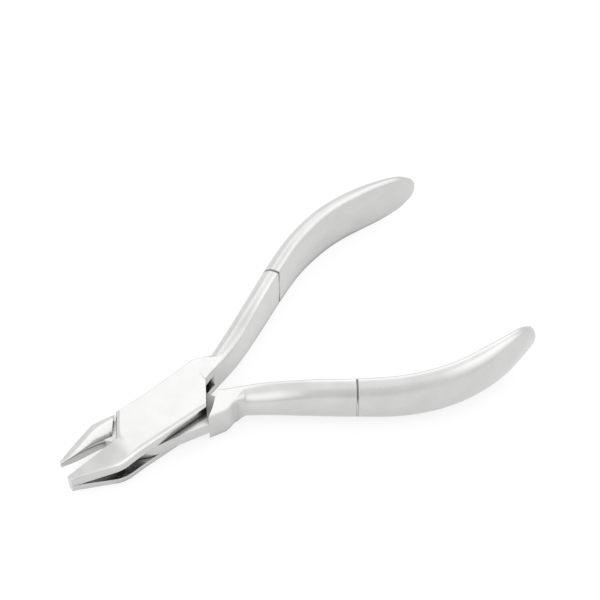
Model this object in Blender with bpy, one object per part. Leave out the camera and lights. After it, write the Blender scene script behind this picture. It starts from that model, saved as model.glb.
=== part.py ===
"""Three-prong crimping pliers of polished stainless steel, lying flat and partly open.

The plan of each half is drawn in that half's own frame: millimetres, the rivet at the
origin, +X towards the handles, +Y on the side of the half's own handle. The cross half
is drawn the same way and then mirrored. The finished pieces are in metres, +Z up along
the rivet, +X along the line midway between the two handles.
"""

import math

import bmesh
import bpy
from mathutils import Matrix, Vector

MM = 0.001

# Pose: how far each half is turned away from the midline.
HALF_OPENING_DEG = 7.1

# Head, in millimetres.
HEAD_HALF_THICKNESS = 5.0
JAW_SIDE_Y = -6.15
JAW_FACE_Y = 0.15
CHEEK_FRONT = ((-13.9, JAW_FACE_Y), (-9.65, 6.36))
CHEEK_REAR = ((12.9, 0.0), (8.45, -6.15))
SLOT_HALF_HEIGHT = 2.2
SLOT_BACK = ((16.3, 1.0), (10.4, 6.8))
WEB_CLEARANCE = 0.08
TIP_X = -28.3

# How far cutters reach past the tool: up and down, to each side, ahead and behind.
CUT_Z = 9.0
CUT_Y = 14.0
CUT_AHEAD_X = -45.0
CUT_BEHIND_X = 30.0

# Rivet.
PIN_RADIUS = 2.5
PIN_CLEARANCE = 0.05

# Grips.
SEAM_GAP = 0.4
SEAM_STATION = 4
SPIGOT_RADIUS = 1.5
SPIGOT_LENGTH = 9.0
SPIGOT_CLEARANCE = 0.05

# Resting height of the middle plane: half the depth of the widest part of a grip.
GRIP_HALF_DEPTH = 8.0
MID_Z = GRIP_HALF_DEPTH
# The rivet's place along X, which puts the middle of the open tool at X = 0.
PIVOT_X = -31.85

# Handle stations: inner face point x and y, heading in degrees, thickness, half depth.
HANDLE_STATIONS = (
    (18.0, 1.5, 13.0, 4.3, 5.0),
    (22.5, 2.65, 17.0, 4.8, 5.1),
    (27.5, 4.4, 21.0, 5.05, 5.4),
    (36.5, 8.45, 23.5, 5.0, 6.4),
    (46.0, 12.75, 22.0, 5.1, 6.8),
    (55.5, 16.6, 16.0, 5.1, 7.5),
    (64.0, 18.5, 7.5, 5.2, 7.9),
    (71.0, 18.9, -1.0, 5.1, 8.0),
    (77.7, 18.25, -7.0, 5.0, 8.0),
    (83.8, 17.35, -10.5, 4.2, 7.8),
    (89.3, 16.2, -12.0, 3.1, 6.9),
    (92.6, 15.5, -12.5, 2.4, 4.5),
)

TOE_REACH = 1.7

ARC_STEPS = 5


def clear_scene():
    for obj in list(bpy.data.objects):
        bpy.data.objects.remove(obj, do_unlink=True)


def steel(name, colour, roughness):
    material = bpy.data.materials.new(name)
    material.use_nodes = True
    shader = material.node_tree.nodes["Principled BSDF"]
    shader.inputs["Base Color"].default_value = (*colour, 1.0)
    shader.inputs["Metallic"].default_value = 1.0
    shader.inputs["Roughness"].default_value = roughness
    material.diffuse_color = (*colour, 1.0)
    return material


def lerp(a, b, t):
    return a + (b - a) * t


def mix(first, second, t):
    return tuple(lerp(a, b, t) for a, b in zip(first, second))


def spline(rows, t):
    """Catmull-Rom curve through the rows; t counts rows from the first."""
    last = len(rows) - 1
    index = min(max(int(math.floor(t)), 0), last - 1)
    u = t - index
    before = rows[max(index - 1, 0)]
    start = rows[index]
    end = rows[index + 1]
    after = rows[min(index + 2, last)]
    point = []
    for a, b, c, d in zip(before, start, end, after):
        slope_in = (c - a) / 2
        slope_out = (d - b) / 2
        point.append(
            (2 * u**3 - 3 * u**2 + 1) * b
            + (u**3 - 2 * u**2 + u) * slope_in
            + (-2 * u**3 + 3 * u**2) * c
            + (u**3 - u**2) * slope_out
        )
    return tuple(point)


def piecewise(points, x):
    """Straight lines through (x, value) points, level beyond both ends."""
    if x <= points[0][0]:
        return points[0][1]
    for (x0, v0), (x1, v1) in zip(points, points[1:]):
        if x <= x1:
            return lerp(v0, v1, (x - x0) / (x1 - x0))
    return points[-1][1]


def link(name, bm, material):
    mesh = bpy.data.meshes.new(name)
    bm.to_mesh(mesh)
    bm.free()
    obj = bpy.data.objects.new(name, mesh)
    bpy.context.scene.collection.objects.link(obj)
    if material:
        mesh.materials.append(material)
    return obj


def mesh_object(name, rings, material=None):
    """A closed skin over rings of equal length, with flat ends."""
    bm = bmesh.new()
    made = [[bm.verts.new(Vector(p) * MM) for p in ring] for ring in rings]
    count = len(rings[0])
    for ring, following in zip(made, made[1:]):
        for i in range(count):
            j = (i + 1) % count
            bm.faces.new((ring[i], ring[j], following[j], following[i]))
    bm.faces.new(made[0])
    bm.faces.new(reversed(made[-1]))
    bmesh.ops.recalc_face_normals(bm, faces=bm.faces)
    return link(name, bm, material)


def prism(name, outline, low, high, material=None):
    """The plan outline, from height low to height high."""
    rings = [[(x, y, z) for x, y in outline] for z in (low, high)]
    return mesh_object(name, rings, material)


def cylinder(name, radius, start, end, sides, material=None):
    """A round bar between two points."""
    axis = Vector(end) - Vector(start)
    turn = axis.to_track_quat("Z", "Y")
    rings = []
    for along in (0.0, axis.length):
        ring = []
        for i in range(sides):
            angle = math.tau * i / sides
            offset = turn @ Vector((math.cos(angle), math.sin(angle), 0)) * radius
            ring.append(tuple(Vector(start) + axis.normalized() * along + offset))
        rings.append(ring)
    return mesh_object(name, rings, material)


def hide(cutter):
    cutter.hide_render = True
    cutter.display_type = "WIRE"
    return cutter


def combine(target, other, operation):
    modifier = target.modifiers.new(f"{operation.lower()} {other.name}", "BOOLEAN")
    modifier.operation = operation
    modifier.solver = "EXACT"
    modifier.object = hide(other)


def smooth(obj, angle_deg=35):
    """Smooth shading, with edges sharper than the angle kept crisp."""
    for face in obj.data.polygons:
        face.use_smooth = True
    obj.data.set_sharp_from_angle(angle=math.radians(angle_deg))


def section(inner, outer, half, inner_round, outer_round):
    """A ring across a half, standing on the plan line from inner to outer.

    Each rounding is (reach along the line, reach in height) of an elliptical corner.
    """
    width = math.dist(inner, outer)
    corners = (
        (0.0, -half, inner_round, 180),
        (width, -half, outer_round, 270),
        (width, half, outer_round, 0),
        (0.0, half, inner_round, 90),
    )
    ring = []
    for across, height, (reach, rise), start in corners:
        side = 1 if across else -1
        centre = (across - side * reach, math.copysign(half - rise, height))
        for step in range(ARC_STEPS + 1):
            angle = math.radians(start + 90 * step / ARC_STEPS)
            a = centre[0] + reach * math.cos(angle)
            z = centre[1] + rise * math.sin(angle)
            x, y = mix(inner, outer, a / width)
            ring.append((x, y, z))
    return ring


def handle_section(t):
    """The section of the shank or grip at station t, counted along HANDLE_STATIONS."""
    x, y, heading, thickness, half = spline(HANDLE_STATIONS, t)
    half = min(half, GRIP_HALF_DEPTH)
    angle = math.radians(heading)
    inner = (x, y)
    outer = (x - thickness * math.sin(angle), y + thickness * math.cos(angle))
    domed = min(max(t / 1.4, 0.0), 1.0)
    outer_round = (lerp(0.5, thickness - 0.9, domed), lerp(0.5, half - 0.4, domed))
    return section(inner, outer, half, (0.45, 0.45), outer_round)


def handle_rings(first, last, steps):
    return [handle_section(lerp(first, last, i / steps)) for i in range(steps + 1)]


def grip_end_rings():
    """The rounded toe of the grip, closing in over its last two millimetres."""
    x, y, heading, thickness, half = HANDLE_STATIONS[-1]
    angle = math.radians(heading)
    ahead = (math.cos(angle), math.sin(angle))
    rings = []
    for step in range(1, 5):
        turn = math.radians(19 * step)
        reach = TOE_REACH * math.sin(turn)
        narrow = math.cos(turn)
        centre_in = (x + reach * ahead[0], y + reach * ahead[1])
        wide = thickness * lerp(0.45, 1.0, narrow)
        shift = (thickness - wide) / 2
        inner = (centre_in[0] - shift * ahead[1], centre_in[1] + shift * ahead[0])
        outer = (inner[0] - wide * ahead[1], inner[1] + wide * ahead[0])
        tall = half * narrow
        rings.append(section(inner, outer, tall, (wide * 0.3, tall * 0.4), (wide * 0.5, tall * 0.8)))
    return rings


def jaw_half_height(x):
    return piecewise(((TIP_X, 2.75), (-15.2, 4.86), (-13.4, HEAD_HALF_THICKNESS)), x)


def fork_head_section(x):
    """The fork half's head, before its slot and its slanted ends are cut."""
    jaw = piecewise(
        (
            (TIP_X, -1.3), (-17.6, -6.05), (-15.6, -6.35), (-11.0, JAW_SIDE_Y), (12.96, JAW_SIDE_Y),
            (13.0, 0.08), (14.9, 0.75), (18.0, 1.5),
        ),
        x,
    )
    side = piecewise(
        ((-9.8, 6.4), (0.0, 6.25), (8.0, 6.55), (13.9, 6.9), (14.6, 6.7), (16.2, 5.75), (17.6, 5.7)), x
    )
    soft = piecewise(((-18.0, 0.5), (-8.0, 1.1), (6.0, 0.5), (13.0, 0.45)), x)
    return section((x, jaw), (x, side), jaw_half_height(x), (soft, soft), (0.4, 0.4))


def slot_half_height(x):
    """Half the height of the fork's slot, narrowing towards the prong tips."""
    return piecewise(((TIP_X, 0.85), (-22.5, 1.4), (-13.8, SLOT_HALF_HEIGHT)), x)


def slot_cutter():
    rings = []
    for x in (TIP_X - 2, TIP_X, -22.5, -13.8):
        height = slot_half_height(x)
        rings.append([(x, -CUT_Y, -height), (x, CUT_Y, -height), (x, CUT_Y, height), (x, -CUT_Y, height)])
    (x0, y0), (x1, y1) = SLOT_BACK
    slope = (x1 - x0) / (y1 - y0)
    near = x0 + slope * (-CUT_Y - y0)
    far = x0 + slope * (CUT_Y - y0)
    height = SLOT_HALF_HEIGHT
    corners = ((near, -CUT_Y, -height), (far, CUT_Y, -height), (far, CUT_Y, height), (near, -CUT_Y, height))
    rings.append(list(corners))
    return mesh_object("slot_cutter", rings)


def beyond(line, reach):
    """A point past the end of a plan line."""
    (x0, y0), (x1, y1) = line
    length = math.dist(*line)
    return (x1 + (x1 - x0) * reach / length, y1 + (y1 - y0) * reach / length)


def head_stations():
    """Where the fork's head has a section: at each bend of its outlines, and between."""
    return (
        TIP_X, -26.5, -24.5, -22.0, -19.8, -17.6, -16.6, -15.6, -14.5, -13.4, -11.0, -9.8, -5.0, 0.0, 4.0,
        8.0, 11.0, 12.96, 13.0, 13.9, 14.6, 14.9, 15.5, 16.2, 16.9,
    )


def rivet_hole(name):
    return cylinder(name, PIN_RADIUS + PIN_CLEARANCE, (0, 0, -CUT_Z), (0, 0, CUT_Z), 48)


def make_fork_half(material):
    rings = [fork_head_section(x) for x in head_stations()]
    rings += handle_rings(0, SEAM_STATION, 22)
    rings[-1] = seam_section(-SEAM_GAP / 2)
    fork = mesh_object("fork_half", rings, material)
    ahead = (CHEEK_FRONT[0], beyond(CHEEK_FRONT, 8), (CUT_AHEAD_X, CUT_Y), (CUT_AHEAD_X, JAW_FACE_Y))
    behind = (CHEEK_REAR[0], beyond(CHEEK_REAR, 8), (CUT_BEHIND_X, -CUT_Y), (CUT_BEHIND_X, 0))
    combine(fork, prism("front_cutter", ahead, -CUT_Z, CUT_Z), "DIFFERENCE")
    combine(fork, prism("rear_cutter", behind, -CUT_Z, CUT_Z), "DIFFERENCE")
    combine(fork, slot_cutter(), "DIFFERENCE")
    combine(fork, rivet_hole("cheek_hole"), "DIFFERENCE")
    combine(fork, spigot_hole("fork_spigot_hole", -1), "DIFFERENCE")
    smooth(fork)
    return fork


def seam_frame():
    """The middle of the seam in plan, and the direction of the handle there."""
    x, y, heading, thickness, _ = HANDLE_STATIONS[SEAM_STATION]
    angle = math.radians(heading)
    ahead = (math.cos(angle), math.sin(angle))
    middle = (x - thickness / 2 * ahead[1], y + thickness / 2 * ahead[0])
    return middle, ahead


def seam_section(shift):
    """The handle's section at the seam, moved along the handle."""
    _, ahead = seam_frame()
    return [(x + shift * ahead[0], y + shift * ahead[1], z) for x, y, z in handle_section(SEAM_STATION)]


def spigot_span(sign, reach):
    """Two points on the spigot's axis: a little past the seam, and reach away from it."""
    middle, ahead = seam_frame()
    ends = []
    for along in (-sign * 2, sign * reach):
        ends.append((middle[0] + along * ahead[0], middle[1] + along * ahead[1], 0))
    return ends


def spigot_hole(name, sign):
    near, far = spigot_span(sign, SPIGOT_LENGTH / 2 + 0.3)
    return cylinder(name, SPIGOT_RADIUS + SPIGOT_CLEARANCE, near, far, 24)


def make_spigot(name, material):
    _, start = spigot_span(-1, SPIGOT_LENGTH / 2)
    _, end = spigot_span(1, SPIGOT_LENGTH / 2)
    spigot = cylinder(name, SPIGOT_RADIUS, start, end, 24, material)
    smooth(spigot)
    return spigot


def make_grip(name, material):
    last = len(HANDLE_STATIONS) - 1
    rings = handle_rings(SEAM_STATION, last, 34) + grip_end_rings()
    rings[0] = seam_section(SEAM_GAP / 2)
    grip = mesh_object(name, rings, material)
    combine(grip, spigot_hole(name + "_hole", 1), "DIFFERENCE")
    smooth(grip)
    return grip


# Cross half: the beak's lines in plan, with +Y on the handle's side. Its upper face slopes
# from the ridge down to the inner edge, and a chamfer falls from the ridge to the outer side.
BEAK_OUTER = ((-27.6, 1.3), (-25.5, -0.1), (-21.6, -2.0), (-17.2, -3.8), (-11.0, -3.85), (-8.5, -3.85))
BEAK_RIDGE = ((-27.6, 1.65), (-26.0, 1.3), (-22.4, 0.2), (-17.9, -1.65), (-15.6, -2.3), (-8.5, -3.0))
BEAK_INNER = ((-27.6, 1.95), (-24.6, 1.65), (-21.0, 1.15), (-17.5, 0.8), (-14.05, 0.95), (-8.5, 0.95))
BEAK_SHOULDER = ((-11.3, -3.85), (-14.05, 1.0))

# Half heights of those three lines.
RIDGE_HEIGHT = ((-27.6, 1.0), (-26.0, 1.4), (-22.4, 2.6), (-17.9, 4.2), (-13.4, 4.9), (-8.5, 4.95))
INNER_HEIGHT = ((-27.6, 0.8), (-26.2, 1.1), (-22.9, 1.76), (-21.0, 1.95), (-8.5, 2.0))
CHAMFER_DROP = ((-27.6, 0.2), (-24.0, 0.5), (-20.0, 0.8), (-8.5, 0.8))

# Where the beak has a section: at each bend of those lines.
BEAK_SECTIONS = (
    -27.6, -27.1, -26.2, -25.5, -24.6, -22.9, -22.4, -21.6, -21.0, -19.5, -17.9, -17.2, -15.6, -14.05,
    -13.4, -11.0, -8.5,
)


def beak_section(x):
    """The beak across its length: an inner face, a sloping upper face and an outer chamfer."""
    inner = (x, piecewise(BEAK_INNER, x))
    ridge = (x, piecewise(BEAK_RIDGE, x))
    outer = (x, piecewise(BEAK_OUTER, x))
    low = piecewise(INNER_HEIGHT, x)
    high = piecewise(RIDGE_HEIGHT, x)
    profile = (
        (*inner, low - 0.35),
        (*mix(inner, ridge, 0.08), low),
        (*mix(inner, ridge, 0.9), lerp(low, high, 0.93)),
        (*mix(ridge, outer, 0.08), high),
        (*outer, high - piecewise(CHAMFER_DROP, x)),
    )
    below = [(along, across, -height) for along, across, height in profile]
    return below + list(reversed(profile))


def make_beak():
    rings = [beak_section(x) for x in BEAK_SECTIONS]
    beak = mesh_object("beak_block", rings)
    behind = (beyond(BEAK_SHOULDER[::-1], 6), beyond(BEAK_SHOULDER, 6), (0, CUT_Y), (0, -CUT_Y))
    combine(beak, prism("beak_shoulder_cutter", behind, -CUT_Z, CUT_Z), "DIFFERENCE")
    return beak


WEB_OUTLINE = (
    (12.9, 0.0), (8.8, -5.4), (-6.0, -5.4), (-9.8, -3.7), (-12.0, -3.0), (-15.0, -2.4), (-16.0, -1.0),
    (-16.0, 0.6), (-14.9, 1.4), (-14.2, 2.6), (-13.5, 4.4), (-12.5, 6.0), (-7.3, 7.4), (-5.3, 7.55),
    (-0.2, 7.25), (8.3, 7.15), (9.4, 7.0), (18.5, 4.9), (18.5, 2.3), (15.0, 1.6),
)
REAR_SHOULDER = ((15.3, -0.3), (12.8, 2.2), (10.9, 4.9), (9.2, 6.7), (7.6, 8.8))


def make_web(material):
    """The plate that passes through the fork's slot."""
    height = SLOT_HALF_HEIGHT - WEB_CLEARANCE
    rings = [[(x, y, z * min(1.0, web_taper(x))) for x, y in WEB_OUTLINE] for z in (-height, height)]
    return mesh_object("cross_half", rings, material)


def web_taper(x):
    """How far the web thins where it enters the prongs' slot."""
    return (slot_half_height(x + 0.6) - 0.15) / (SLOT_HALF_HEIGHT - WEB_CLEARANCE)


def cross_root_section(x):
    side = piecewise(((7.0, 7.1), (9.2, 7.1), (13.3, 7.1), (14.6, 6.6), (16.2, 5.6), (17.6, 5.65)), x)
    inner = piecewise(((7.0, -1.3), (12.9, 0.0), (14.9, 0.85), (18.0, 1.5)), x)
    return section((x, inner), (x, side), HEAD_HALF_THICKNESS, (0.45, 0.45), (0.6, 0.6))


def make_cross_root():
    rings = [cross_root_section(x) for x in (7.0, 9.2, 11.0, 12.9, 13.3, 14.6, 14.9, 15.5, 16.2, 16.9)]
    rings += handle_rings(0, SEAM_STATION, 22)
    rings[-1] = seam_section(-SEAM_GAP / 2)
    root = mesh_object("cross_root", rings)
    ahead = (*REAR_SHOULDER, (0, CUT_Y), (0, -CUT_Y))
    combine(root, prism("rear_shoulder_cutter", ahead, -CUT_Z, CUT_Z), "DIFFERENCE")
    return root


def make_cross_half(material):
    cross = make_web(material)
    combine(cross, make_beak(), "UNION")
    combine(cross, make_cross_root(), "UNION")
    combine(cross, rivet_hole("web_hole"), "DIFFERENCE")
    combine(cross, spigot_hole("cross_spigot_hole", -1), "DIFFERENCE")
    smooth(cross)
    return cross


def mirror(obj):
    """Turns a piece drawn with its handle at +Y into one with its handle at -Y."""
    obj.data.transform(Matrix.Scale(-1, 4, (0, 1, 0)))
    obj.data.flip_normals()
    for modifier in obj.modifiers:
        if modifier.object:
            mirror(modifier.object)


def place(obj, frame):
    obj.parent = frame
    for modifier in obj.modifiers:
        if modifier.object:
            place(modifier.object, frame)


def joint_frame(name, angle_deg):
    frame = bpy.data.objects.new(name, None)
    frame.location = (PIVOT_X * MM, 0, MID_Z * MM)
    frame.rotation_euler = (0, 0, math.radians(angle_deg))
    bpy.context.scene.collection.objects.link(frame)
    return frame


def make_pin(material):
    half = HEAD_HALF_THICKNESS - 0.03
    pin = cylinder("joint_pin", PIN_RADIUS, (0, 0, -half), (0, 0, half), 48, material)
    smooth(pin)
    return pin


def main():
    clear_scene()
    polished = steel("polished_steel", (0.80, 0.80, 0.79), 0.16)
    satin = steel("satin_steel", (0.78, 0.78, 0.77), 0.24)
    pin_steel = steel("pin_steel", (0.74, 0.74, 0.74), 0.2)
    spigot_steel = steel("spigot_steel", (0.6, 0.6, 0.6), 0.35)
    fork_frame = joint_frame("fork_frame", HALF_OPENING_DEG)
    cross_frame = joint_frame("cross_frame", -HALF_OPENING_DEG)
    for piece in (
        make_fork_half(polished),
        make_grip("fork_grip", satin),
        make_spigot("fork_spigot", spigot_steel),
        make_pin(pin_steel),
    ):
        place(piece, fork_frame)
    for piece in (
        make_cross_half(polished),
        make_grip("cross_grip", satin),
        make_spigot("cross_spigot", spigot_steel),
    ):
        mirror(piece)
        place(piece, cross_frame)


main()
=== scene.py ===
"""Three-prong crimping pliers of polished steel on a white table, in soft studio light.

The plan of each half is drawn in that half's own frame, in millimetres: the rivet at the
origin, +X towards the handles, +Y on the side of the half's own handle. The cross half is
drawn the same way and then mirrored. The finished pieces stand in metres in the frame of
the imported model.
"""

import math

import bmesh
import bpy
from mathutils import Matrix, Vector


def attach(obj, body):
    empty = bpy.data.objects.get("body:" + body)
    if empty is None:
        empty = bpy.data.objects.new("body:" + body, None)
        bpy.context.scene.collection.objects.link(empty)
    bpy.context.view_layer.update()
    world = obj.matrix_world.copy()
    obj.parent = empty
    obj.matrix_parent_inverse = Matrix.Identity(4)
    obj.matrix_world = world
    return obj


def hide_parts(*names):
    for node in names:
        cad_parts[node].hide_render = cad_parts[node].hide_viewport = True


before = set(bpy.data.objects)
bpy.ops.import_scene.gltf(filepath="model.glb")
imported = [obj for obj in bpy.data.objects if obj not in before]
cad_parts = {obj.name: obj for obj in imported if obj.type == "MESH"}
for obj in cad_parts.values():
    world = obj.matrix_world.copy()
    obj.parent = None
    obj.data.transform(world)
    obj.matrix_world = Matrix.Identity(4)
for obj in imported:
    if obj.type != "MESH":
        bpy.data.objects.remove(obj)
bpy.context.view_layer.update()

MM = 0.001

# Pose and place of the two halves.
HALF_OPENING_DEG = 7.1
PIVOT_X = -31.85
MID_Z = 8.0

# Head, in millimetres.
HEAD_HALF_THICKNESS = 5.0
JAW_SIDE_Y = -6.15
JAW_FACE_Y = 0.15
CHEEK_FRONT = ((-13.9, JAW_FACE_Y), (-9.65, 6.36))
# The rounding of that edge: its reach along the head and its depth.
CHEEK_FRONT_ROUND = (1.1, 0.7)
CHEEK_REAR = ((12.9, 0.0), (8.45, -6.15))
SLOT_HALF_HEIGHT = 2.2
SLOT_BACK = ((16.3, 1.0), (10.4, 6.8))
WEB_CLEARANCE = 0.08
TIP_X = -28.3
# Along the head: where the prongs grow out of the cheeks, where the cheeks end on the jaw side,
# the two sides of the step there, and where the shank's own sections take over.
PRONG_ROOT_X = -12.0
CHEEK_END_X = 12.9
BEFORE_CROTCH_X = 12.96
CROTCH_X = 13.0
SHANK_X = 16.9
# How much lower the flat faces of the head and of the cross half's root are at their sides.
HEAD_CROWN = 0.08
ROOT_CROWN = 0.05

# Rivet: it shows from below, where its foot is recessed by a hair, and it stops short of the
# upper cheek's face, in a hole that is a little deeper.
PIN_RADIUS = 2.5
PIN_HOLE_RADIUS = 2.51
PIN_TOP = 4.3
PIN_HOLE_DEPTH_SPARE = 0.05
PIN_FOOT_RECESS = 0.03

# How far cutters reach past the tool: up and down, to each side, ahead and behind.
CUT_Z = 9.0
CUT_Y = 14.0
CUT_AHEAD_X = -45.0
CUT_BEHIND_X = 30.0
# How far slanted cuts run on past the ends of their plan lines.
CHEEK_CUT_REACH = 8.0
BEAK_CUT_REACH = 6.0

# Grips and the seams in front of them. A seam's lip is the small rounding of each edge, and
# its filler stands clear of both edges.
GRIP_HALF_DEPTH = 8.0
SEAM_GAP = 0.4
SEAM_STATION = 4
SEAM_RECESS = 0.1
SEAM_LIP_LENGTH = 0.12
SEAM_LIP_DEPTH = 0.08
SEAM_FILLER_CLEARANCE = 0.01
# How far from the seam's station the skins' last full sections stand, in stations.
SEAM_STATION_STEP = 0.03

# Roundings of the handles: the arris of the inner face, the outer face's corners where the
# shank is still square, and what the full dome leaves flat of the thickness and half depth.
ARRIS = 0.45
SQUARE_CORNER = 0.5
DOME_FLAT_THICKNESS = 0.9
DOME_FLAT_DEPTH = 0.4
# The station where the dome starts to grow, and the stations over which it becomes full.
DOME_START = -0.05
DOME_LENGTH = 0.6

# Handle stations: inner face point x and y, heading in degrees, thickness, half depth.
HANDLE_STATIONS = (
    (18.0, 1.5, 13.0, 4.3, 5.0),
    (22.5, 2.65, 17.0, 4.95, 5.1),
    (27.5, 4.4, 21.0, 5.3, 5.5),
    (36.5, 8.45, 23.5, 5.25, 6.5),
    (46.0, 12.75, 22.0, 5.35, 6.9),
    (55.5, 16.6, 16.0, 5.4, 7.5),
    (64.0, 18.5, 7.5, 5.5, 7.9),
    (71.0, 18.9, -1.0, 5.4, 8.0),
    (77.7, 18.25, -7.0, 5.2, 8.0),
    (83.8, 17.35, -10.5, 4.2, 7.8),
    (89.3, 16.2, -12.0, 3.1, 6.5),
    (92.6, 15.5, -12.5, 2.4, 4.0),
)
# How far the middle of the grip rises towards its end.
GRIP_LIFT = ((83.8, 0.0), (89.3, 0.4), (92.6, 0.6))
# The toe: how far it runs past the last station on each grip, and the part of a quarter turn
# over which it closes in.
FORK_TOE_REACH = 1.7
CROSS_TOE_REACH = 1.0
TOE_START_DEG = 35.0
TOE_END_DEG = 87.0
# At the toe's very end: its share of the last station's thickness, and the shares of its own
# width and half height that its inner and outer corners round.
TOE_END_WIDTH = 0.4
TOE_INNER_ROUND = (0.3, 0.4)
TOE_OUTER_ROUND = (0.5, 0.8)

# How finely the skins are drawn: steps along each stretch, and around each section.
PRONG_STEPS = 26
CHEEK_STEPS = 16
FORK_ROOT_STEPS = 14
CROSS_ROOT_STEPS = 34
SHANK_STEPS = 44
GRIP_STEPS = 72
TOE_STEPS = 12
BEAK_STEPS = 70
EDGE_STEPS = 8
ARC_STEPS = 10
FLAT_STEPS = 6
EASE_STEPS = 4
BAR_SIDES = 96
# Edges sharper than this stay sharp, and larger faces pull the shading this strongly.
SHARP_DEG = 32
FLAT_FACE_WEIGHT = 60

# Camera: the direction it is seen in from the tool, its distance and lens in millimetres, and
# the point it looks at, in the tool's plane and from the rivet.
CAMERA_AZIMUTH_DEG = -31.6
CAMERA_ELEVATION_DEG = 56.0
CAMERA_DISTANCE = 460.8
CAMERA_LENS = 108.0
CAMERA_SENSOR = 36.0
AIM_FROM_PIVOT = (46.67, 12.45)
# The nearest and farthest that it sees, in metres.
CAMERA_CLIP = (0.01, 20.0)


def lerp(a, b, t):
    return a + (b - a) * t


def mix(first, second, t):
    return tuple(lerp(a, b, t) for a, b in zip(first, second))


def spline(rows, t):
    """Catmull-Rom curve through the rows; t counts rows from the first."""
    last = len(rows) - 1
    index = min(max(int(math.floor(t)), 0), last - 1)
    u = t - index
    before = rows[max(index - 1, 0)]
    start = rows[index]
    end = rows[index + 1]
    after = rows[min(index + 2, last)]
    point = []
    for a, b, c, d in zip(before, start, end, after):
        slope_in = (c - a) / 2
        slope_out = (d - b) / 2
        point.append(
            (2 * u**3 - 3 * u**2 + 1) * b
            + (u**3 - 2 * u**2 + u) * slope_in
            + (-2 * u**3 + 3 * u**2) * c
            + (u**3 - u**2) * slope_out
        )
    return tuple(point)


def piecewise(points, x):
    """Straight lines through (x, value) points, level beyond both ends."""
    if x <= points[0][0]:
        return points[0][1]
    for (x0, v0), (x1, v1) in zip(points, points[1:]):
        if x <= x1:
            return lerp(v0, v1, (x - x0) / (x1 - x0))
    return points[-1][1]


def eased(points, x, reach=0.5):
    """As piecewise, with each bend rounded over the reach on either side."""
    samples = [piecewise(points, x + reach * k / EASE_STEPS) for k in range(-EASE_STEPS, EASE_STEPS + 1)]
    return sum(samples) / len(samples)


def link(name, bm):
    mesh = bpy.data.meshes.new(name)
    bm.to_mesh(mesh)
    bm.free()
    obj = bpy.data.objects.new(name, mesh)
    bpy.context.scene.collection.objects.link(obj)
    return obj


def mesh_object(name, rings):
    """A closed skin over rings of equal length, with flat ends."""
    bm = bmesh.new()
    made = [[bm.verts.new(Vector(p) * MM) for p in ring] for ring in rings]
    count = len(rings[0])
    for ring, following in zip(made, made[1:]):
        for i in range(count):
            j = (i + 1) % count
            bm.faces.new((ring[i], ring[j], following[j], following[i]))
    bm.faces.new(made[0])
    bm.faces.new(reversed(made[-1]))
    bmesh.ops.recalc_face_normals(bm, faces=bm.faces)
    return link(name, bm)


def prism(name, outline, low, high):
    """The plan outline, from height low to height high."""
    return mesh_object(name, [[(x, y, z) for x, y in outline] for z in (low, high)])


def cylinder(name, radius, low, high):
    """A round bar on the rivet's axis, from height low to height high."""
    rings = []
    for z in (low, high):
        angles = [math.tau * i / BAR_SIDES for i in range(BAR_SIDES)]
        rings.append([(radius * math.cos(a), radius * math.sin(a), z) for a in angles])
    return mesh_object(name, rings)


def combine(target, other, operation):
    modifier = target.modifiers.new(f"{operation.lower()} {other.name}", "BOOLEAN")
    modifier.operation = operation
    modifier.solver = "EXACT"
    modifier.object = other


def bake(obj):
    """Keeps the combined shape, drops the shapes it was made from, and shades it smooth."""
    graph = bpy.context.evaluated_depsgraph_get()
    final = bpy.data.meshes.new_from_object(obj.evaluated_get(graph))
    spare = [m.object for m in obj.modifiers if m.object]
    obj.modifiers.clear()
    obj.data = final
    for other in spare:
        spare += [m.object for m in other.modifiers if m.object]
        bpy.data.objects.remove(other)
    for face in obj.data.polygons:
        face.use_smooth = True
    obj.data.set_sharp_from_angle(angle=math.radians(SHARP_DEG))
    weighted = obj.modifiers.new("weighted normals", "WEIGHTED_NORMAL")
    weighted.keep_sharp = True
    weighted.weight = FLAT_FACE_WEIGHT
    return obj


def section(inner, outer, half, inner_round, outer_round, crown=0.0):
    """A ring across a half, standing on the plan line from inner to outer.

    Each rounding is (reach along the line, reach in height) of an elliptical corner. The
    crown is how much higher the top is along its middle than beside its corners.
    """
    width = math.dist(inner, outer)
    corners = (
        (0.0, -half, inner_round, 180),
        (width, -half, outer_round, 270),
        (width, half, outer_round, 0),
        (0.0, half, inner_round, 90),
    )
    outline = []
    for across, height, (reach, rise), start in corners:
        side = 1 if across else -1
        centre = (across - side * reach, math.copysign(half - rise, height))
        for step in range(ARC_STEPS + 1):
            angle = math.radians(start + 90 * step / ARC_STEPS)
            outline.append((centre[0] + reach * math.cos(angle), centre[1] + rise * math.sin(angle)))
    ring = []
    for index, (a, z) in enumerate(outline):
        ring.append((a, z))
        if index % (ARC_STEPS + 1) == ARC_STEPS:
            following = outline[(index + 1) % len(outline)]
            ring += [mix((a, z), following, k / FLAT_STEPS) for k in range(1, FLAT_STEPS)]
    finished = []
    for a, z in ring:
        share = 2 * a / width - 1
        lift = crown * (1 - share * share) - crown
        x, y = mix(inner, outer, a / width)
        finished.append((x, y, z + math.copysign(lift * abs(z) / half, z)))
    return finished


def lifted(ring, rise):
    return [(x, y, z + rise) for x, y, z in ring]


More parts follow.
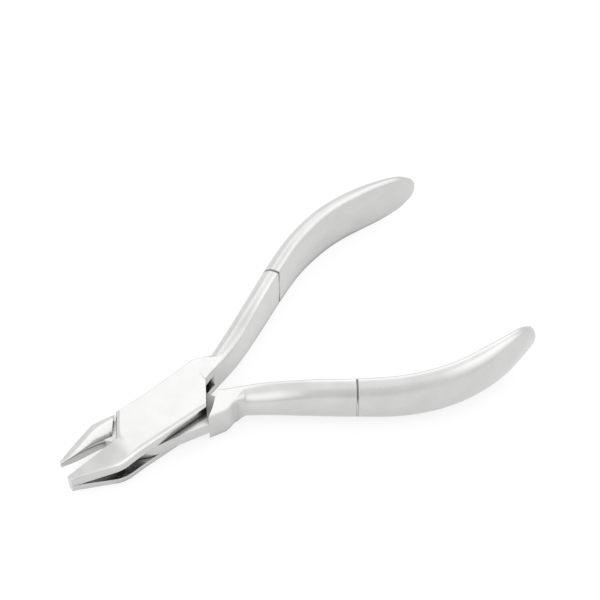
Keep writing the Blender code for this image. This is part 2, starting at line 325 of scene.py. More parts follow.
def handle_section(t):
    """The section of the shank or grip at station t, counted along HANDLE_STATIONS."""
    x, y, heading, thickness, half = spline(HANDLE_STATIONS, t)
    half = min(half, GRIP_HALF_DEPTH)
    angle = math.radians(heading)
    inner = (x, y)
    outer = (x - thickness * math.sin(angle), y + thickness * math.cos(angle))
    domed = min(max((t - DOME_START) / DOME_LENGTH, 0.0), 1.0)
    dome = (thickness - DOME_FLAT_THICKNESS, half - DOME_FLAT_DEPTH)
    outer_round = mix((SQUARE_CORNER, SQUARE_CORNER), dome, domed)
    return lifted(section(inner, outer, half, (ARRIS, ARRIS), outer_round), piecewise(GRIP_LIFT, x))


def handle_rings(first, last, steps):
    return [handle_section(lerp(first, last, i / steps)) for i in range(steps + 1)]


def grip_end_rings(toe_reach):
    """The rounded toe of the grip, closing in from its last station."""
    x, y, heading, thickness, half = HANDLE_STATIONS[-1]
    angle = math.radians(heading)
    ahead = (math.cos(angle), math.sin(angle))
    start = math.radians(TOE_START_DEG)
    end = math.radians(TOE_END_DEG)
    full_dome = (1 - DOME_FLAT_THICKNESS / thickness, 1 - DOME_FLAT_DEPTH / half)
    rings = []
    for step in range(1, TOE_STEPS + 1):
        turn = lerp(start, end, step / TOE_STEPS)
        reach = toe_reach * (math.sin(turn) - math.sin(start)) / (1 - math.sin(start))
        narrow = math.cos(turn) / math.cos(start)
        blunt = 1 - narrow
        wide = thickness * lerp(TOE_END_WIDTH, 1.0, narrow)
        tall = half * narrow
        shift = (thickness - wide) / 2
        inner = (x + reach * ahead[0] - shift * ahead[1], y + reach * ahead[1] + shift * ahead[0])
        outer = (inner[0] - wide * ahead[1], inner[1] + wide * ahead[0])
        inner_share = mix((ARRIS / thickness, ARRIS / half), TOE_INNER_ROUND, blunt)
        outer_share = mix(full_dome, TOE_OUTER_ROUND, blunt)
        inner_round = (wide * inner_share[0], tall * inner_share[1])
        outer_round = (wide * outer_share[0], tall * outer_share[1])
        rings.append(lifted(section(inner, outer, tall, inner_round, outer_round), GRIP_LIFT[-1][1]))
    return rings


def seam_frame():
    """The middle of the seam in plan, and the direction of the handle there."""
    x, y, heading, thickness, _ = HANDLE_STATIONS[SEAM_STATION]
    angle = math.radians(heading)
    ahead = (math.cos(angle), math.sin(angle))
    middle = (x - thickness / 2 * ahead[1], y + thickness / 2 * ahead[0])
    return middle, ahead


def seam_section(shift, inset=0.0):
    """The handle's section at the seam, moved along the handle and drawn in by the inset."""
    middle, ahead = seam_frame()
    thickness, half = HANDLE_STATIONS[SEAM_STATION][3:]
    ring = []
    for x, y, z in handle_section(SEAM_STATION):
        across = 1 - 2 * inset / thickness
        px = middle[0] + (x - middle[0]) * across + shift * ahead[0]
        py = middle[1] + (y - middle[1]) * across + shift * ahead[1]
        ring.append((px, py, z * (1 - inset / half)))
    return ring


def seam_lip(side):
    """Rings that round a seam's edge over, from the body of the piece to its end face."""
    body = seam_section(side * (SEAM_GAP / 2 + SEAM_LIP_LENGTH), 0.0)
    return [body, seam_section(side * SEAM_GAP / 2, SEAM_LIP_DEPTH)]


# The fork half's head: half its height along the prongs, its jaw side up to the crotch and
# behind it, and its other side.
PRONG_HEIGHT = ((TIP_X, 2.75), (-15.2, 4.86), (-13.4, HEAD_HALF_THICKNESS))
JAW_LINE = ((TIP_X, -1.3), (-17.6, -6.05), (-15.6, -6.35), (-11.0, JAW_SIDE_Y), (20.0, JAW_SIDE_Y))
REAR_JAW_LINE = ((CROTCH_X, 0.08), (14.9, 0.75), (18.0, 1.5))
HEAD_SIDE_LINE = ((-9.8, 6.4), (0.0, 6.25), (8.0, 6.55), (13.9, 6.9), (14.6, 6.7), (16.2, 5.75), (17.6, 5.7))

# The rounding of the head's edge on the jaw side: its reach inwards and its depth.
SOFT_REACH = ((TIP_X, 0.7), (-18.0, 1.1), (-11.0, 1.7), (6.0, 1.5), (CHEEK_END_X, 0.9), (CROTCH_X, ARRIS))
SOFT_DEPTH = ((TIP_X, 0.7), (-18.0, 1.0), (-11.0, 1.2), (6.0, 0.9), (CHEEK_END_X, 0.6), (CROTCH_X, ARRIS))
# The rounding of the edge on its other side, and the distances over which those lines bend.
HEAD_SIDE_ROUND = (0.4, 0.4)
PRONG_HEIGHT_BEND = 1.2
JAW_BEND = 0.9
HEAD_SIDE_BEND = 0.45

# Half the height of the fork's slot, narrowing towards the prong tips.
SLOT_TAPER = ((TIP_X, 0.05), (-26.0, 0.2), (-22.5, 0.9), (-18.5, 1.7), (-13.8, SLOT_HALF_HEIGHT))


def fork_head_section(x):
    """The fork half's head, before its slot and its slanted ends are cut."""
    jaw = eased(JAW_LINE, x, JAW_BEND) if x < CROTCH_X else piecewise(REAR_JAW_LINE, x)
    side = eased(HEAD_SIDE_LINE, x, HEAD_SIDE_BEND)
    half = eased(PRONG_HEIGHT, x, PRONG_HEIGHT_BEND)
    soft = (piecewise(SOFT_REACH, x), piecewise(SOFT_DEPTH, x))
    return section((x, jaw), (x, side), half, soft, HEAD_SIDE_ROUND, HEAD_CROWN)


def slot_ring(near_x, far_x, half):
    """An upright rectangle through the slot, from far on the jaw side to far on the other."""
    near = (near_x, -CUT_Y)
    far = (far_x, CUT_Y)
    return [(*near, -half), (*far, -half), (*far, half), (*near, half)]


def slot_cutter():
    """The slot's empty space: it tapers over the prongs and ends in a slanted back wall."""
    rings = [slot_ring(TIP_X - 2, TIP_X - 2, SLOT_TAPER[0][1])]
    rings += [slot_ring(x, x, half) for x, half in SLOT_TAPER]
    (x0, y0), (x1, y1) = SLOT_BACK
    slope = (x1 - x0) / (y1 - y0)
    near_x = x0 + slope * (-CUT_Y - y0)
    far_x = x0 + slope * (CUT_Y - y0)
    rings.append(slot_ring(near_x, far_x, SLOT_HALF_HEIGHT))
    return mesh_object("slot_cutter", rings)


def beyond(line, reach):
    """A point past the end of a plan line."""
    (x0, y0), (x1, y1) = line
    length = math.dist(*line)
    return (x1 + (x1 - x0) * reach / length, y1 + (y1 - y0) * reach / length)


def stretch(start, end, steps):
    """Even steps from start to end, without the start itself."""
    return [lerp(start, end, k / steps) for k in range(1, steps + 1)]


def head_stations():
    """Where the fork's head has a section: even steps, closer where its outline bends."""
    stations = [TIP_X]
    stations += stretch(TIP_X, PRONG_ROOT_X, PRONG_STEPS)
    stations += stretch(PRONG_ROOT_X, CHEEK_END_X, CHEEK_STEPS)
    stations += [BEFORE_CROTCH_X, CROTCH_X]
    stations += stretch(CROTCH_X, SHANK_X, FORK_ROOT_STEPS)
    return stations


def shank_rings():
    return handle_rings(0, SEAM_STATION - SEAM_STATION_STEP, SHANK_STEPS) + seam_lip(-1)


def front_cutter():
    """Cuts the cheeks' front edges, biting further in near their faces to round them."""
    reach, depth = CHEEK_FRONT_ROUND
    start = HEAD_HALF_THICKNESS - depth
    heights = [start + depth * k / EDGE_STEPS for k in range(EDGE_STEPS + 1)] + [CUT_Z]
    (x0, y0), (x1, y1) = (CHEEK_FRONT[0], beyond(CHEEK_FRONT, CHEEK_CUT_REACH))
    rings = []
    for z in [-h for h in reversed(heights)] + heights:
        share = min(max((abs(z) - start) / depth, 0.0), 1.0)
        bite = reach * (1 - math.sqrt(1 - share * share))
        outline = ((x0 + bite, y0), (x1 + bite, y1), (CUT_AHEAD_X, CUT_Y), (CUT_AHEAD_X, JAW_FACE_Y))
        rings.append([(x, y, z) for x, y in outline])
    return mesh_object("front_cutter", rings)


def make_fork_half():
    rings = [fork_head_section(x) for x in head_stations()]
    fork = mesh_object("fork_half_fine", rings + shank_rings())
    far_end = beyond(CHEEK_REAR, CHEEK_CUT_REACH)
    behind = (CHEEK_REAR[0], far_end, (CUT_BEHIND_X, -CUT_Y), (CUT_BEHIND_X, 0))
    rear = prism("rear_cutter", behind, -CUT_Z, CUT_Z)
    hole = cylinder("cheek_hole", PIN_HOLE_RADIUS, -CUT_Z, PIN_TOP + PIN_HOLE_DEPTH_SPARE)
    for cutter in (front_cutter(), rear, slot_cutter(), hole):
        combine(fork, cutter, "DIFFERENCE")
    return bake(fork)


def make_pin():
    foot = PIN_FOOT_RECESS - HEAD_HALF_THICKNESS
    return bake(cylinder("joint_pin_fine", PIN_RADIUS, foot, PIN_TOP))


def make_grip(name, toe_reach):
    last = len(HANDLE_STATIONS) - 1
    body = handle_rings(SEAM_STATION + SEAM_STATION_STEP, last, GRIP_STEPS)
    return bake(mesh_object(name, seam_lip(1)[::-1] + body + grip_end_rings(toe_reach)))


def make_seam(name):
    """The slightly sunken filler between shank and grip."""
    reach = SEAM_GAP / 2 - SEAM_FILLER_CLEARANCE
    return bake(mesh_object(name, [seam_section(shift, SEAM_RECESS) for shift in (-reach, reach)]))


# Cross half: the beak's lines in plan, with +Y on the handle's side. Its upper face slopes
# from the ridge down to the inner edge, and a chamfer falls from the ridge to the outer side.
BEAK_OUTER = ((-27.6, 1.3), (-25.5, -0.1), (-21.6, -2.0), (-17.2, -3.8), (-11.0, -3.85), (-8.5, -3.85))
BEAK_RIDGE = ((-27.6, 1.65), (-26.0, 1.3), (-22.4, 0.2), (-17.9, -1.65), (-15.6, -2.3), (-8.5, -3.0))
BEAK_INNER = ((-27.6, 1.95), (-24.6, 1.65), (-21.0, 1.15), (-17.5, 0.8), (-14.05, 0.95), (-8.5, 0.95))
BEAK_SHOULDER = ((-11.3, -3.85), (-14.05, 1.0))

# Half heights of those three lines.
RIDGE_HEIGHT = ((-27.6, 1.0), (-26.0, 1.4), (-22.4, 2.6), (-17.9, 4.2), (-13.4, 4.9), (-8.5, 4.95))
INNER_HEIGHT = ((-27.6, 0.8), (-26.2, 1.1), (-22.9, 1.76), (-21.0, 1.95), (-8.5, 2.0))
CHAMFER_DROP = ((-27.6, 0.2), (-24.0, 0.5), (-20.0, 0.8), (-8.5, 0.8))

# The distances over which those lines bend: near the inner edge, and at the ridge and outside.
BEAK_INNER_BEND = 0.6
BEAK_OUTER_BEND = 0.9

# The beak's upper profile. The inner edge rises from low on the inner face and rounds into the
# slope, as (share of the way to the ridge, share of the inner edge's height).
BEAK_EDGE = ((0.0, 0.4), (0.01, 0.62), (0.04, 0.82), (0.09, 0.96))
# The slope up to the ridge, as (share of the way, share of the rise).
BEAK_SLOPE = ((0.17, 0.10), (0.50, 0.48), (0.86, 0.89), (0.95, 0.97))
# The chamfer down to the outer side, as (share of the way, how many drops it falls).
BEAK_CHAMFER = ((0.04, 0.0), (0.14, 0.16), (0.90, 1.1), (1.0, 1.35))


def beak_section(x):
    """The beak across its length: an inner face, a sloping upper face and an outer chamfer."""
    inner = eased(BEAK_INNER, x, BEAK_INNER_BEND)
    ridge = eased(BEAK_RIDGE, x, BEAK_OUTER_BEND)
    outer = eased(BEAK_OUTER, x, BEAK_OUTER_BEND)
    low = eased(INNER_HEIGHT, x, BEAK_INNER_BEND)
    high = eased(RIDGE_HEIGHT, x, BEAK_OUTER_BEND)
    drop = piecewise(CHAMFER_DROP, x)
    profile = [(x, lerp(inner, ridge, way), share * low) for way, share in BEAK_EDGE]
    profile += [(x, lerp(inner, ridge, way), lerp(low, high, rise)) for way, rise in BEAK_SLOPE]
    profile += [(x, lerp(ridge, outer, way), high - fall * drop) for way, fall in BEAK_CHAMFER]
    below = [(x, across, -height) for x, across, height in profile]
    return below + profile[::-1]


def make_beak():
    start = BEAK_OUTER[0][0]
    stations = [start] + stretch(start, BEAK_OUTER[-1][0], BEAK_STEPS)
    beak = mesh_object("beak_block", [beak_section(x) for x in stations])
    near_end = beyond(BEAK_SHOULDER[::-1], BEAK_CUT_REACH)
    far_end = beyond(BEAK_SHOULDER, BEAK_CUT_REACH)
    behind = (near_end, far_end, (0, CUT_Y), (0, -CUT_Y))
    combine(beak, prism("beak_shoulder_cutter", behind, -CUT_Z, CUT_Z), "DIFFERENCE")
    return beak


# The web's plan, and the line of the shoulder at its rear. The web thins towards the prongs'
# slot, staying behind the slot's own taper and clear of its walls.
WEB_OUTLINE = (
    (12.9, 0.0), (8.8, -5.4), (-6.0, -5.4), (-9.8, -3.7), (-12.0, -3.0), (-15.0, -2.4), (-16.0, -1.0),
    (-16.0, 0.6), (-14.9, 1.4), (-14.2, 2.6), (-13.5, 4.4), (-12.5, 6.0), (-7.3, 7.4), (-5.3, 7.55),
    (-0.2, 7.25), (8.3, 7.15), (9.4, 7.0), (18.5, 4.9), (18.5, 2.3), (15.0, 1.6),
)
REAR_SHOULDER = ((15.3, -0.3), (12.8, 2.2), (10.9, 4.9), (9.2, 6.7), (7.6, 8.8))
WEB_TAPER_LAG = 0.6
WEB_TAPER_CLEARANCE = 0.15


def web_taper(x):
    """The web's share of its full height, which falls where it enters the prongs' slot."""
    room = piecewise(SLOT_TAPER, x + WEB_TAPER_LAG) - WEB_TAPER_CLEARANCE
    return min(1.0, room / (SLOT_HALF_HEIGHT - WEB_CLEARANCE))


def make_web():
    """The plate that passes through the fork's slot."""
    height = SLOT_HALF_HEIGHT - WEB_CLEARANCE
    rings = [[(x, y, z * web_taper(x)) for x, y in WEB_OUTLINE] for z in (-height, height)]
    return mesh_object("cross_half_fine", rings)


# The cross half's root, between its shoulder and its shank: its two sides, the distances over
# which they bend, and the rounding of its outer edge.
ROOT_SIDE = ((9.2, 7.1), (13.3, 7.1), (14.6, 6.6), (16.2, 5.6), (17.6, 5.65))
ROOT_INNER = ((7.0, -1.3), (12.9, 0.0), (14.9, 0.85), (18.0, 1.5))
ROOT_SIDE_BEND = 0.45
ROOT_INNER_BEND = 0.3
ROOT_SIDE_ROUND = (0.6, 0.6)


def cross_root_section(x):
    side = eased(ROOT_SIDE, x, ROOT_SIDE_BEND)
    inner = eased(ROOT_INNER, x, ROOT_INNER_BEND)
    return section((x, inner), (x, side), HEAD_HALF_THICKNESS, (ARRIS, ARRIS), ROOT_SIDE_ROUND, ROOT_CROWN)


def make_cross_root():
    start = ROOT_INNER[0][0]
    stations = [start] + stretch(start, SHANK_X, CROSS_ROOT_STEPS)
    root = mesh_object("cross_root", [cross_root_section(x) for x in stations] + shank_rings())
    ahead = (*REAR_SHOULDER, (0, CUT_Y), (0, -CUT_Y))
    combine(root, prism("rear_shoulder_cutter", ahead, -CUT_Z, CUT_Z), "DIFFERENCE")
    return root


def make_cross_half():
    cross = make_web()
    combine(cross, make_beak(), "UNION")
    combine(cross, make_cross_root(), "UNION")
    combine(cross, cylinder("web_hole", PIN_HOLE_RADIUS, -CUT_Z, CUT_Z), "DIFFERENCE")
    return bake(cross)


def place(obj, body, mirrored, node, material):
    """Stands a finished piece in the model's frame, in place of its plain CAD node."""
    turn = -HALF_OPENING_DEG if mirrored else HALF_OPENING_DEG
    matrix = Matrix.Translation((PIVOT_X * MM, 0, MID_Z * MM)) @ Matrix.Rotation(math.radians(turn), 4, "Z")
    if mirrored:
        matrix = matrix @ Matrix.Scale(-1, 4, (0, 1, 0))
    obj.data.transform(matrix)
    if mirrored:
        obj.data.flip_normals()
    obj.data.materials.clear()
    obj.data.materials.append(material)
    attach(obj, body)
    if node:
        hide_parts(node)


def add_node(tree, kind, **inputs):
    node = tree.nodes.new(kind)
    for key, value in inputs.items():
        node.inputs[key.replace("_", " ")].default_value = value
    return node


def noise(tree, coordinates, scale, detail, stretch):
    """Noise in millimetres, drawn out along an axis where stretch is small."""
    mapping = add_node(tree, "ShaderNodeMapping")
    mapping.inputs["Scale"].default_value = [s / MM for s in stretch]
    texture = add_node(tree, "ShaderNodeTexNoise", Scale=scale, Detail=detail)
    tree.links.new(coordinates, mapping.inputs["Vector"])
    tree.links.new(mapping.outputs["Vector"], texture.inputs["Vector"])
    return texture.outputs["Fac"]


def remap(tree, value, low, high, to_low, to_high, curve="LINEAR"):
    node = add_node(tree, "ShaderNodeMapRange")
    node.interpolation_type = curve
    node.inputs["From Min"].default_value = low
    node.inputs["From Max"].default_value = high
    node.inputs["To Min"].default_value = to_low
    node.inputs["To Max"].default_value = to_high
    tree.links.new(value, node.inputs["Value"])
    return node.outputs["Result"]


def math_node(tree, operation, first, second):
    node = tree.nodes.new("ShaderNodeMath")
    node.operation = operation
    for socket, value in zip(node.inputs, (first, second)):
        if isinstance(value, (int, float)):
            socket.default_value = value
        else:
            tree.links.new(value, socket)
    return node.outputs["Value"]


def scaled(tree, colour, factor):
    node = tree.nodes.new("ShaderNodeVectorMath")
    node.operation = "SCALE"
    tree.links.new(colour, node.inputs[0])
    tree.links.new(factor, node.inputs["Scale"])
    return node.outputs["Vector"]


# Painted shade that darkens the steel's colour by what is near it: how far away that may be in millimetres,
# the openness at which it is darkest and at which it is unshaded, and how dark it gets. The first is painted
# shade in corners and gaps, and the second painted shade on sides that face the table or the other half.
CREVICE_SHADE = (3.0, 0.4, 0.95, 0.22)
BROAD_SHADE = (11.0, 0.3, 0.95, 0.76)
SHADE_SAMPLES = 8
UNSHADED_SPOT_FADE = 1.5


def shade_from(tree, reach, closed, open_, tone):
    """How much of its colour a surface keeps under painted shade, from how open its surroundings are."""
    openness = add_node(tree, "ShaderNodeAmbientOcclusion", Distance=reach * MM)
    openness.samples = SHADE_SAMPLES
    return remap(tree, openness.outputs["AO"], closed, open_, tone, 1.0)


def with_painted_shade(tree, colour, unshaded_spot=None):
    """The colour, with painted shade where the steel faces other steel or the table close by.

    The unshaded spot, as (x, y, z, radius) in millimetres, gets no painted shade from corners and gaps.
    """
    # Painted shade in corners and gaps, then on sides near the table or the other half.
    shade = shade_from(tree, *CREVICE_SHADE)
    if unshaded_spot:
        *centre, radius = unshaded_spot
        away = tree.nodes.new("ShaderNodeVectorMath")
        away.operation = "DISTANCE"
        coordinates = tree.nodes.new("ShaderNodeTexCoord").outputs["Object"]
        tree.links.new(coordinates, away.inputs[0])
        away.inputs[1].default_value = [c * MM for c in centre]
        fade_end = (radius + UNSHADED_SPOT_FADE) * MM
        unshaded = remap(tree, away.outputs["Value"], radius * MM, fade_end, 1.0, 0.0)
        shade = math_node(tree, "MAXIMUM", shade, unshaded)
    shade = math_node(tree, "MULTIPLY", shade, shade_from(tree, *BROAD_SHADE))
    return scaled(tree, colour, shade)


# The steel's patterns, as (scale, detail, stretch) of a noise in millimetres: polishing lines
# along X, faint smudges, fine grain and the slow waves that hand polishing leaves.
LINES = (1.0, 6.0, (0.12, 9.0, 9.0))
SMUDGES = (0.16, 5.0, (1.0, 1.0, 1.0))
GRAIN = (14.0, 3.0, (1.0, 1.0, 1.0))
WAVES = (0.22, 2.0, (0.6, 1.0, 1.0))
# How far smudges shift the colour, lines the roughness, and how deep the grain is beside them.
SMUDGE_TONE = 0.8
LINE_ROUGHNESS = (-0.03, 0.05)
GRAIN_SHARE = 0.2
# The rounding of edges seen in reflections, in millimetres, and how far it has to turn the
# surface, as a cosine, for an edge to start and to end looking rubbed.
SOFT_EDGE = 0.16
CRISP_EDGE = 0.08
SEAM_EDGE = 0.1
EDGE_SAMPLES = 6
RUBBED_FROM = 0.99
RUBBED_TO = 0.80

# Finishes: two tones, the range of roughness, and the depth in millimetres of the scoring and
# of the waves.
POLISHED = {
    "dark": (0.57, 0.57, 0.565), "light": (0.63, 0.63, 0.62),
    "rough_low": 0.13, "rough_high": 0.24, "scratch": 0.0012, "waviness": 0.02,
}
SATIN = {
    "dark": (0.57, 0.57, 0.565), "light": (0.62, 0.62, 0.61),
    "rough_low": 0.17, "rough_high": 0.28, "scratch": 0.0014, "waviness": 0.02,
}
SEAM_FINISH = {
    "dark": (0.55, 0.55, 0.54), "light": (0.62, 0.62, 0.6),
    "rough_low": 0.3, "rough_high": 0.45, "scratch": 0.003, "waviness": 0.01,
}
HIDDEN_FINISH = {
    "dark": (0.6, 0.6, 0.6), "light": (0.66, 0.66, 0.66),
    "rough_low": 0.3, "rough_high": 0.4, "scratch": 0.002, "waviness": 0.01,
}

# Where the painted shade of corners and gaps is left off the steel, as (x, y, z, radius) in millimetres:
# beside the crotch of the jaws, along the prongs, and everywhere.
BEAK_GAP = (-45.6, 4.2, 10.5, 4.0)
PRONG_WALL = (-54.0, -2.5, 9.5, 8.0)
EVERYWHERE = (PIVOT_X, 0.0, MID_Z, 200.0)


def steel(name, dark, light, rough_low, rough_high, scratch, waviness, edge=SOFT_EDGE, unshaded_spot=None):
    """Steel with polishing lines along X, faint smudges, a slight unevenness and rubbed edges."""
    material = bpy.data.materials.new(name)
    material.use_nodes = True
    tree = material.node_tree
    shader = tree.nodes["Principled BSDF"]
    shader.inputs["Metallic"].default_value = 1.0
    coordinates = tree.nodes.new("ShaderNodeTexCoord").outputs["Object"]
    lines = noise(tree, coordinates, *LINES)
    smudge = noise(tree, coordinates, *SMUDGES)
    grain = noise(tree, coordinates, *GRAIN)
    waves = noise(tree, coordinates, *WAVES)

    rounded = add_node(tree, "ShaderNodeBevel", Radius=edge * MM)
    rounded.samples = EDGE_SAMPLES
    geometry = tree.nodes.new("ShaderNodeNewGeometry")
    facing = tree.nodes.new("ShaderNodeVectorMath")
    facing.operation = "DOT_PRODUCT"
    tree.links.new(rounded.outputs["Normal"], facing.inputs[0])
    tree.links.new(geometry.outputs["Normal"], facing.inputs[1])
    rubbed = remap(tree, facing.outputs["Value"], RUBBED_TO, RUBBED_FROM, 1.0, 0.0)

    tone = tree.nodes.new("ShaderNodeMix")
    tone.data_type = "RGBA"
    tone.inputs["A"].default_value = (*dark, 1.0)
    tone.inputs["B"].default_value = (*light, 1.0)
    mottled = remap(tree, smudge, 0.35, 0.65, 0.0, SMUDGE_TONE)
    tree.links.new(math_node(tree, "MAXIMUM", mottled, rubbed), tone.inputs["Factor"])
    # The base colour carries painted shade in corners, gaps and on sides near the table.
    tree.links.new(with_painted_shade(tree, tone.outputs["Result"], unshaded_spot), shader.inputs["Base Color"])

    base_rough = remap(tree, smudge, 0.3, 0.7, rough_low, rough_high)
    fine_rough = remap(tree, lines, 0.3, 0.7, *LINE_ROUGHNESS)
    tree.links.new(math_node(tree, "ADD", base_rough, fine_rough), shader.inputs["Roughness"])

    uneven = add_node(tree, "ShaderNodeBump", Strength=1.0, Distance=waviness * MM)
    tree.links.new(waves, uneven.inputs["Height"])
    tree.links.new(rounded.outputs["Normal"], uneven.inputs["Normal"])
    scored = add_node(tree, "ShaderNodeBump", Strength=1.0, Distance=scratch * MM)
    surface = math_node(tree, "ADD", lines, math_node(tree, "MULTIPLY", grain, GRAIN_SHARE))
    tree.links.new(surface, scored.inputs["Height"])
    tree.links.new(uneven.outputs["Normal"], scored.inputs["Normal"])
    tree.links.new(scored.outputs["Normal"], shader.inputs["Normal"])
    return material


# Heights above and below the middle plane between which painted shade darkens the seam, and how far.
SEAM_PALE_Z = 2.2
SEAM_DARK_Z = 4.4
SEAM_DARKEST = 0.3


def seam_material():
    """The seam filler's steel: pale in the middle of the handle, with painted shade near its top and bottom.
    """
    material = steel("seam_steel_fine", **SEAM_FINISH, edge=SEAM_EDGE, unshaded_spot=EVERYWHERE)
    tree = material.node_tree
    shader = tree.nodes["Principled BSDF"]
    colour = shader.inputs["Base Color"].links[0].from_socket
    split = tree.nodes.new("ShaderNodeSeparateXYZ")
    coordinates = tree.nodes.new("ShaderNodeTexCoord").outputs["Object"]
    tree.links.new(coordinates, split.inputs["Vector"])
    above_middle = math_node(tree, "SUBTRACT", split.outputs["Z"], MID_Z * MM)
    height = math_node(tree, "ABSOLUTE", above_middle, 0)
    # Painted shade: the seam darkens towards its top and bottom.
    shade = remap(tree, height, SEAM_PALE_Z * MM, SEAM_DARK_Z * MM, 1.0, SEAM_DARKEST)
    tree.links.new(scaled(tree, colour, shade), shader.inputs["Base Color"])
    return material


# The table: its own grey and its glow, its size in metres, and how far under the grips' bellies
# it lies in millimetres.
TABLE_GREY = 0.2
TABLE_GLOW = 0.82
TABLE_SIZE = 6.0
TABLE_CLEARANCE = 0.1


def table_material():
    """A white light table: it glows, so that shadows on it are faint."""
    material = bpy.data.materials.new("white_table")
    material.use_nodes = True
    shader = material.node_tree.nodes["Principled BSDF"]
    shader.inputs["Base Color"].default_value = (TABLE_GREY, TABLE_GREY, TABLE_GREY, 1.0)
    shader.inputs["Roughness"].default_value = 0.9
    shader.inputs["Specular IOR Level"].default_value = 0.1
    shader.inputs["Emission Color"].default_value = (1.0, 1.0, 1.0, 1.0)
    shader.inputs["Emission Strength"].default_value = TABLE_GLOW
    return material


# The tool lies on the bellies of its grips and on the front of its head, so the table
# under it leans a little against the tool's own plane.
BELLY_X = 29.0
HEAD_CONTACT_X = -46.0
HEAD_UNDERSIDE_Z = 3.0


def add_table():
    lean = math.atan2(HEAD_UNDERSIDE_Z, BELLY_X - HEAD_CONTACT_X)
    place_at = (BELLY_X * MM, 0, -TABLE_CLEARANCE * MM)
    bpy.ops.mesh.primitive_plane_add(size=TABLE_SIZE, location=place_at, rotation=(0, lean, 0))
    table = bpy.context.object
    table.name = "table"
    table.data.materials.append(table_material())


def direction(azimuth_deg, elevation_deg):
    """Unit vector from the object towards a place seen at that azimuth and elevation."""
    a = math.radians(azimuth_deg)
    e = math.radians(elevation_deg)
    return Vector((math.sin(a) * math.cos(e), -math.cos(a) * math.cos(e), math.sin(e)))


# The cards' soft edges: the share of a card's half width over which it fades out.
CARD_FADE = 0.45


def add_card(name, lit_point, azimuth, elevation, distance, size, glow):
    """A round, soft-edged white card that only the steel reflects, facing the point it lights."""
    bpy.ops.mesh.primitive_plane_add(size=1.0)
    card = bpy.context.object
    card.name = name
    card.scale = (size, size, 1)
    away = direction(azimuth, elevation)
    card.location = Vector(lit_point) * MM + away * distance
    card.rotation_euler = away.to_track_quat("Z", "Y").to_euler()
    material = bpy.data.materials.new(name)
    material.use_nodes = True
    tree = material.node_tree
    tree.nodes.remove(tree.nodes["Principled BSDF"])
    place_on_card = add_node(tree, "ShaderNodeMapping")
    place_on_card.inputs["Scale"].default_value = (2, 2, 2)
    coordinates = tree.nodes.new("ShaderNodeTexCoord").outputs["Object"]
    tree.links.new(coordinates, place_on_card.inputs["Vector"])
    fade = tree.nodes.new("ShaderNodeTexGradient")
    fade.gradient_type = "SPHERICAL"
    tree.links.new(place_on_card.outputs["Vector"], fade.inputs["Vector"])
    edge = remap(tree, fade.outputs["Fac"], 0.0, CARD_FADE, 0.0, 1.0)
    light = add_node(tree, "ShaderNodeEmission", Color=(1.0, 1.0, 1.0, 1.0), Strength=glow)
    clear = tree.nodes.new("ShaderNodeBsdfTransparent")
    blend = tree.nodes.new("ShaderNodeMixShader")
    tree.links.new(edge, blend.inputs["Fac"])
    tree.links.new(clear.outputs["BSDF"], blend.inputs[1])
    tree.links.new(light.outputs["Emission"], blend.inputs[2])
    tree.links.new(blend.outputs["Shader"], tree.nodes["Material Output"].inputs["Surface"])
    card.data.materials.append(material)
    card.visible_camera = False
    card.visible_shadow = False
    card.visible_diffuse = False


# The white tent's brightness: level at the horizon and overhead, and brighter or darker
# patches as (azimuth, elevation, inner and outer angle in degrees, how much brighter).
TENT_HORIZON = 1.0
TENT_ZENITH = 1.2
TENT_PATCHES = (
    (138, 50, 9, 30, 0.50),
    (-28, 30, 8, 34, -0.16),
    (40, 38, 10, 30, 0.35),
    (182, 62, 3, 12, -0.12),
    (176, 22, 6, 24, 0.4),
)


def add_tent():
    world = bpy.data.worlds.new("tent")
    world.use_nodes = True
    tree = world.node_tree
    around = tree.nodes.new("ShaderNodeTexCoord").outputs["Generated"]
    split = tree.nodes.new("ShaderNodeSeparateXYZ")
    tree.links.new(around, split.inputs["Vector"])
    level = remap(tree, split.outputs["Z"], 0.0, 1.0, TENT_HORIZON, TENT_ZENITH)
    for azimuth, elevation, inner, outer, extra in TENT_PATCHES:
        toward = tree.nodes.new("ShaderNodeVectorMath")
        toward.operation = "DOT_PRODUCT"
        tree.links.new(around, toward.inputs[0])
        toward.inputs[1].default_value = direction(azimuth, elevation)
        rim = math.cos(math.radians(outer))
        core = math.cos(math.radians(inner))
        patch = remap(tree, toward.outputs["Value"], rim, core, 0.0, extra, "SMOOTHSTEP")
        level = math_node(tree, "ADD", level, patch)
    background = tree.nodes["Background"]
    background.inputs["Color"].default_value = (1.0, 1.0, 1.0, 1.0)
    tree.links.new(level, background.inputs["Strength"])
    bpy.context.scene.world = world


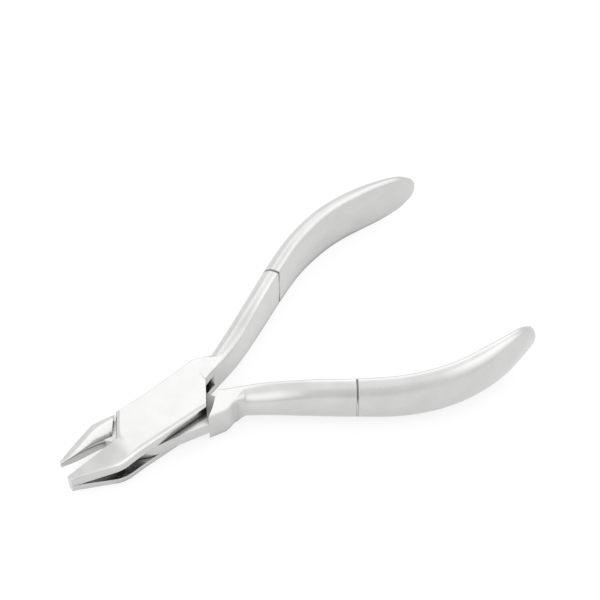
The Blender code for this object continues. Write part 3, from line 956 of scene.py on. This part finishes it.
# The small cards that light the beak's upper face and the end of the cross half's grip: the
# point lit in millimetres, the card's azimuth and elevation from there in degrees, its distance
# and width in metres, and its glow.
CARDS = {
    "beak_card": ((-54.0, 3.0, 10.0), 12, 42, 0.05, 0.065, 1.65),
    "grip_card": ((47.0, -25.0, 12.0), 42, 54, 0.08, 0.08, 1.7),
}


def add_lights():
    add_tent()
    for name, card in CARDS.items():
        add_card(name, *card)


def add_camera():
    data = bpy.data.cameras.new("camera")
    data.sensor_width = CAMERA_SENSOR
    data.lens = CAMERA_LENS
    data.clip_start, data.clip_end = CAMERA_CLIP
    camera = bpy.data.objects.new("camera", data)
    aim = Vector((PIVOT_X + AIM_FROM_PIVOT[0], AIM_FROM_PIVOT[1], MID_Z)) * MM
    back = direction(CAMERA_AZIMUTH_DEG, CAMERA_ELEVATION_DEG)
    camera.location = aim + back * CAMERA_DISTANCE * MM
    camera.rotation_euler = back.to_track_quat("Z", "Y").to_euler()
    bpy.context.scene.collection.objects.link(camera)
    bpy.context.scene.camera = camera


def build_tool():
    polished = steel("polished_steel_fine", **POLISHED, unshaded_spot=PRONG_WALL)
    polished_crisp = steel("polished_steel_crisp", **POLISHED, edge=CRISP_EDGE, unshaded_spot=BEAK_GAP)
    satin = steel("satin_steel_fine", **SATIN)
    seam_steel = seam_material()
    hidden = steel("plain_steel_fine", **HIDDEN_FINISH)
    place(make_fork_half(), "fork", False, "fork_half", polished)
    place(make_cross_half(), "cross", True, "cross_half", polished_crisp)
    place(make_grip("fork_grip_fine", FORK_TOE_REACH), "fork", False, "fork_grip", satin)
    place(make_grip("cross_grip_fine", CROSS_TOE_REACH), "cross", True, "cross_grip", satin)
    place(make_seam("fork_seam"), "fork", False, None, seam_steel)
    place(make_seam("cross_seam"), "cross", True, None, seam_steel)
    place(make_pin(), "fork", False, "joint_pin", polished)
    for node in ("fork_spigot", "cross_spigot"):
        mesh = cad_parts[node].data
        mesh.materials.clear()
        mesh.materials.append(hidden)


build_tool()
add_table()
add_lights()
add_camera()
bpy.context.scene.view_settings.view_transform = "Standard"
